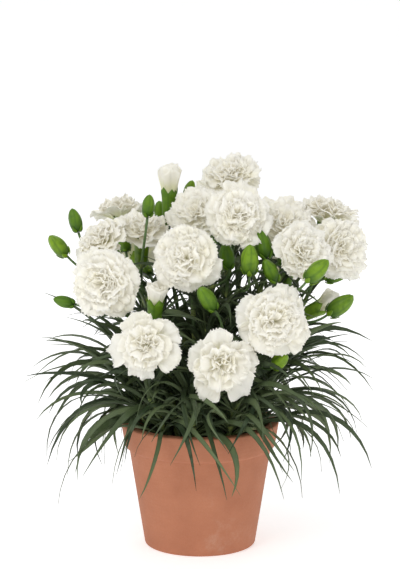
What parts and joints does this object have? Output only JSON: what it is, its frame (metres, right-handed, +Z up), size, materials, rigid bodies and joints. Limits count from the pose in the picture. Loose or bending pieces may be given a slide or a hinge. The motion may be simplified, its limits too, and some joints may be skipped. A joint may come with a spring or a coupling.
{
  "type": "potted carnation",
  "caption": "Potted carnation in bloom: ruffled double flowers, buds and narrow arching leaves on branching stems, standing in a plain round clay pot.",
  "frame": {"origin": "on the pot's axis, in the middle of the underside that it stands on", "axes": "+Z up along the pot's axis, -Y towards the side seen from the front, +X to the right of that view"},
  "size_m": [0.2621, 0.2681, 0.2984],
  "materials": {
    "clay": "matte",
    "soil": "matte",
    "petal": "matte",
    "stem_green": "satin",
    "leaf_green": "satin"
  },
  "bodies": {
    "root": {"pot": "clay", "soil": "soil", "stem_front_centre": "stem_green", "stem_front_left": "stem_green", "stem_front_right": "stem_green", "stem_left": "stem_green", "stem_centre": "stem_green", "stem_upper_right_of_centre": "stem_green", "stem_upper_left_of_centre": "stem_green", "stem_upper_left": "stem_green", "stem_left_of_centre": "stem_green", "stem_tall_left": "stem_green", "stem_tall_centre": "stem_green", "stem_upper_right": "stem_green", "stem_right": "stem_green", "stem_far_right": "stem_green", "stem_tall_right": "stem_green", "stem_low_right": "stem_green", "stem_back_left": "stem_green", "stem_back": "stem_green", "shoot_01": "leaf_green", "shoot_02": "leaf_green", "shoot_03": "leaf_green", "shoot_04": "leaf_green", "shoot_05": "leaf_green", "shoot_06": "leaf_green", "shoot_07": "leaf_green", "shoot_08": "leaf_green", "shoot_09": "leaf_green", "shoot_10": "leaf_green", "shoot_11": "leaf_green", "shoot_12": "leaf_green", "bloom_front_centre": "petal", "bloom_front_left": "petal", "bloom_front_right": "petal", "bloom_left": "petal", "bloom_centre": "petal", "bloom_upper_right_of_centre": "petal", "bloom_upper_left_of_centre": "petal", "bloom_upper_left": "petal", "bloom_left_of_centre": "petal", "bloom_left_of_centre_side": "petal", "bloom_tall_centre": "petal", "bloom_upper_right": "petal", "bloom_right": "petal", "bloom_far_right": "petal", "bloom_tall_right": "petal", "bloom_low_right": "petal", "bloom_back_left": "petal", "bloom_back": "petal", "half_open_front_left_side": "petal", "half_open_low_right_side": "petal", "half_open_tall_left": "petal"}
  },
  "joints": []
}
